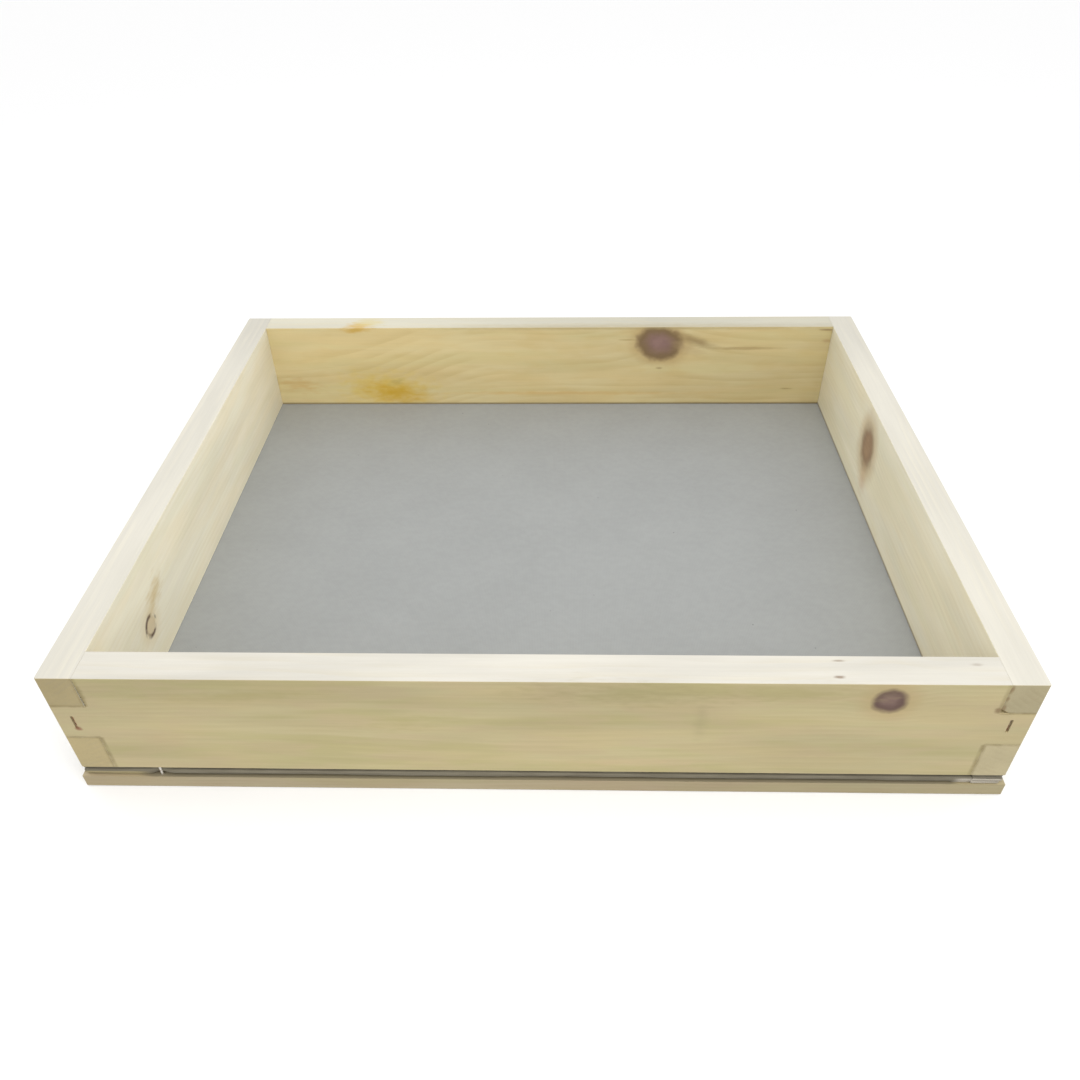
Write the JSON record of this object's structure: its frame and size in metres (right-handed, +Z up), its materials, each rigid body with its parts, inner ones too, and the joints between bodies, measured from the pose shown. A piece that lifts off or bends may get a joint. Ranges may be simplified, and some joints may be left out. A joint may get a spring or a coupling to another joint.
{
  "type": "screen printing frame",
  "caption": "Deep rectangular wooden frame with box-jointed corners and a fine grey screen stretched flat under it, held by laths.",
  "frame": {"origin": "centre of the base, on the surface that the laths rest on", "axes": "+X along the long side, +Y from the front rail to the back rail, +Z up, out of the open top"},
  "size_m": [0.5124, 0.4064, 0.0905],
  "materials": {
    "rail_pine": "bare sanded pine",
    "lath_pine": "bare sawn pine",
    "packing_strip": "folded fine weave",
    "screen_cloth": "matt fine plain weave",
    "brad_steel": "bright wire",
    "staple_steel": "dull wire with rust"
  },
  "bodies": {
    "root": {"front_rail": "rail_pine", "back_rail": "rail_pine", "left_rail": "rail_pine", "right_rail": "rail_pine", "front_lath": "lath_pine", "back_lath": "lath_pine", "left_lath": "lath_pine", "right_lath": "lath_pine", "front_packing_strip": "packing_strip", "back_packing_strip": "packing_strip", "left_packing_strip": "packing_strip", "right_packing_strip": "packing_strip", "screen": "screen_cloth", "front_brads": "brad_steel", "back_brads": "brad_steel", "left_brads": "brad_steel", "right_brads": "brad_steel", "front_screen_staples": "staple_steel", "back_screen_staples": "staple_steel", "left_screen_staples": "staple_steel", "right_screen_staples": "staple_steel", "front_corner_staples": "staple_steel", "back_corner_staples": "staple_steel"}
  },
  "joints": []
}
